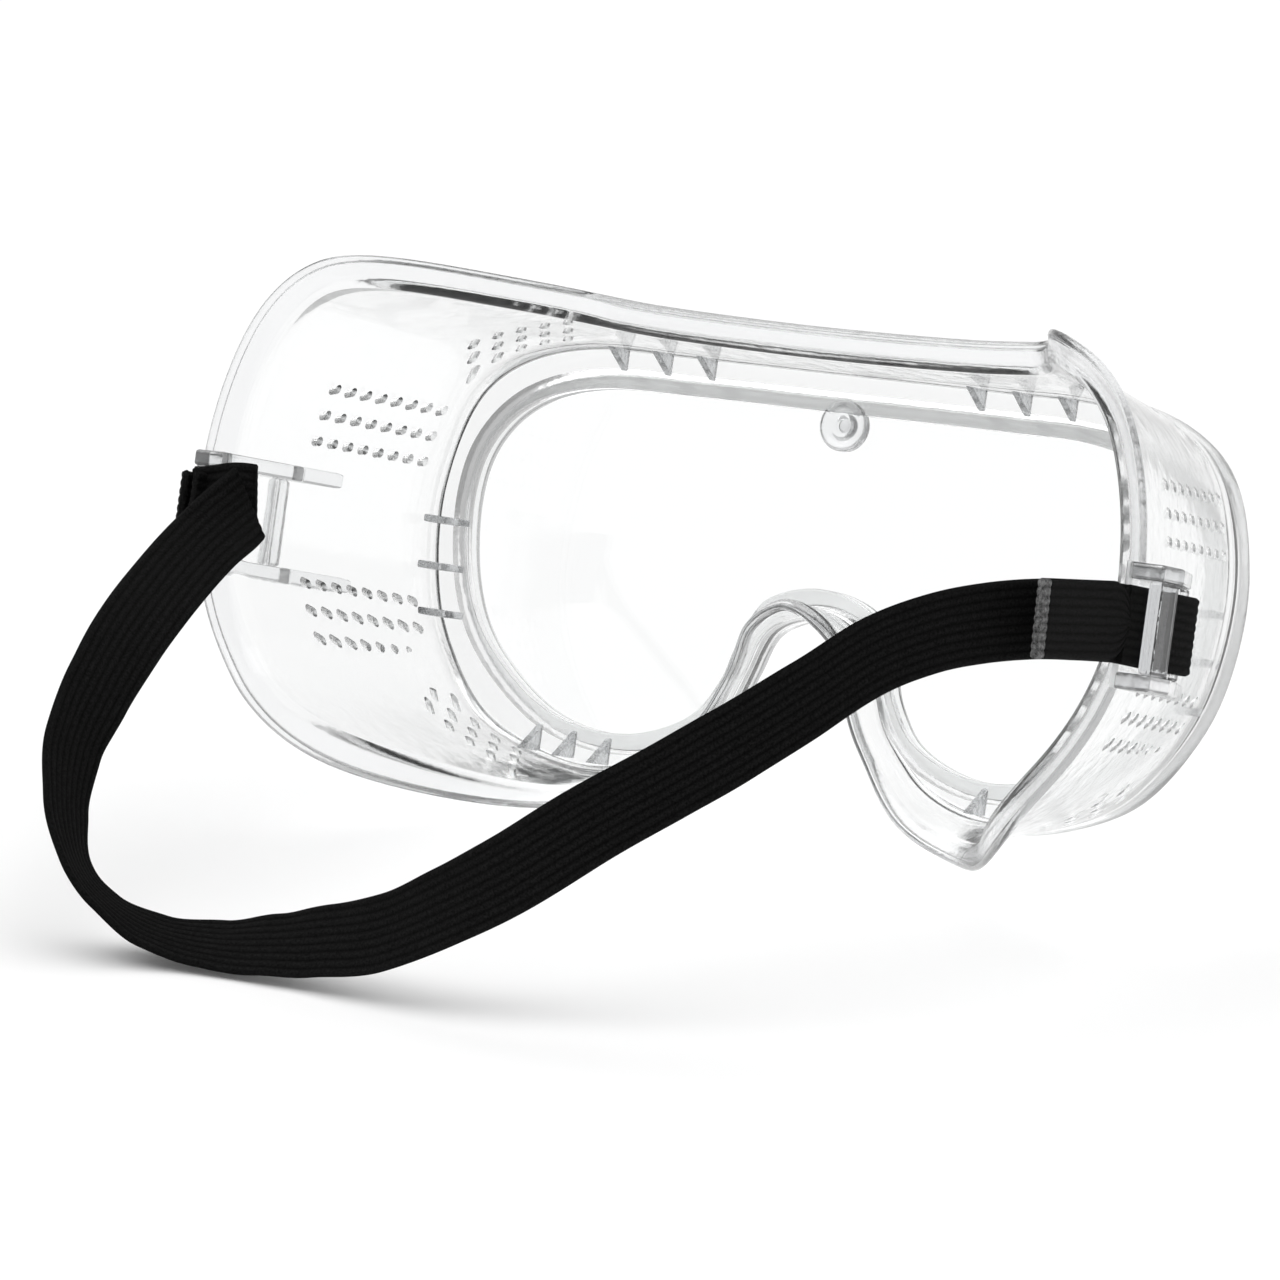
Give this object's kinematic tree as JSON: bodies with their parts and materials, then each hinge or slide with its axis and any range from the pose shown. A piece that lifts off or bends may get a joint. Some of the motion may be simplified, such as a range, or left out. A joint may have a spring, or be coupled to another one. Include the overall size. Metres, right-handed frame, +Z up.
{
  "type": "safety goggles",
  "caption": "Clear soft-bodied safety goggles with perforated side, top and bottom vents, a flat clear lens in a groove and a black elastic head strap.",
  "frame": {"origin": "middle of the resting footprint of the goggles without the free strap, on the surface they stand on", "axes": "+X to the wearer's right-hand side seen from behind (across the face), +Y the way the lens faces, +Z up"},
  "size_m": [0.1773, 0.1609, 0.0943],
  "materials": {
    "clear_body": "clear flexible PVC, glossy",
    "clear_lens": "clear polycarbonate, optical gloss",
    "strap": "black ribbed knitted elastic",
    "strap_tip": "heat-sealed end of the elastic, slightly glossy"
  },
  "bodies": {
    "goggles": {"body_shell": "clear_body", "face_flange": "clear_body", "lens_rim": "clear_body", "lens_tab": "clear_body", "lens_stud": "clear_body", "top_gussets": "clear_body", "bottom_gussets": "clear_body", "side_gussets": "clear_body", "strap_lug_left": "clear_body", "strap_lug_right": "clear_body", "lug_bar_left": "clear_body", "lug_bar_right": "clear_body", "lug_ribs_left": "clear_body", "lug_ribs_right": "clear_body", "lens": "clear_lens", "strap_loop_left": "strap", "strap_loop_right": "strap"},
    "strap": {"strap_run": "strap"},
    "tail": {"strap_tail": "strap", "strap_tip": "strap_tip"}
  },
  "joints": [
    {"name": "strap_swing", "type": "hinge", "parent": "goggles", "child": "strap", "pos_m": [0, -0.04147, 0.05499], "axis": [1, 0, 0], "range_deg": [-60, 0]},
    {"name": "tail_slide", "type": "slide", "parent": "strap", "child": "tail", "axis": [0, -0.9748, 0.2233], "range_m": [0, 0.012]}
  ]
}
